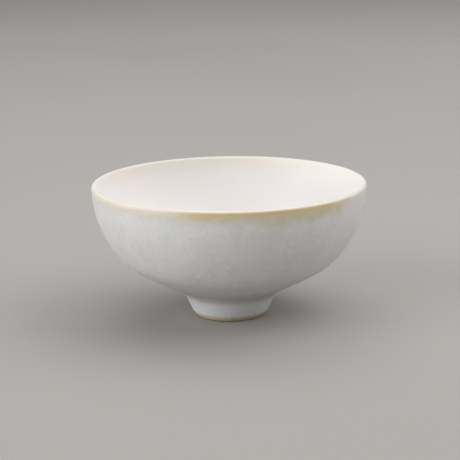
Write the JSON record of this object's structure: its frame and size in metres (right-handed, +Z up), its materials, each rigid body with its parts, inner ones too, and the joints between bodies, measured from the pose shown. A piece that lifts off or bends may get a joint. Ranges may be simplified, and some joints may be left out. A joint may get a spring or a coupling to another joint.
{
  "type": "sake cup",
  "caption": "Shallow footed sake cup: a thin-walled bowl on a low foot ring, blue-grey glaze outside, white glaze inside and an ochre edge round the lip.",
  "frame": {"origin": "middle of the flat ring that the cup stands on", "axes": "+Z up along the cup's turning axis; the cup is a body of revolution, so X and Y are alike"},
  "size_m": [0.09, 0.09, 0.0445],
  "materials": {
    "bare_clay": "matte fired clay, bare where the foot stands",
    "blue_grey_glaze": "satin pale blue-grey glaze with a fine soft mottle",
    "white_glaze": "smooth satin warm white glaze",
    "ochre_edge": "satin glaze worn thin over the edge, cream to ochre and olive"
  },
  "bodies": {
    "root": {"bowl_wall": "bare_clay", "foot_ring": "bare_clay", "outer_glaze": "blue_grey_glaze", "liner_glaze": "white_glaze", "lip_band": "ochre_edge", "foot_band": "ochre_edge", "recess_glaze": "blue_grey_glaze"}
  },
  "joints": []
}
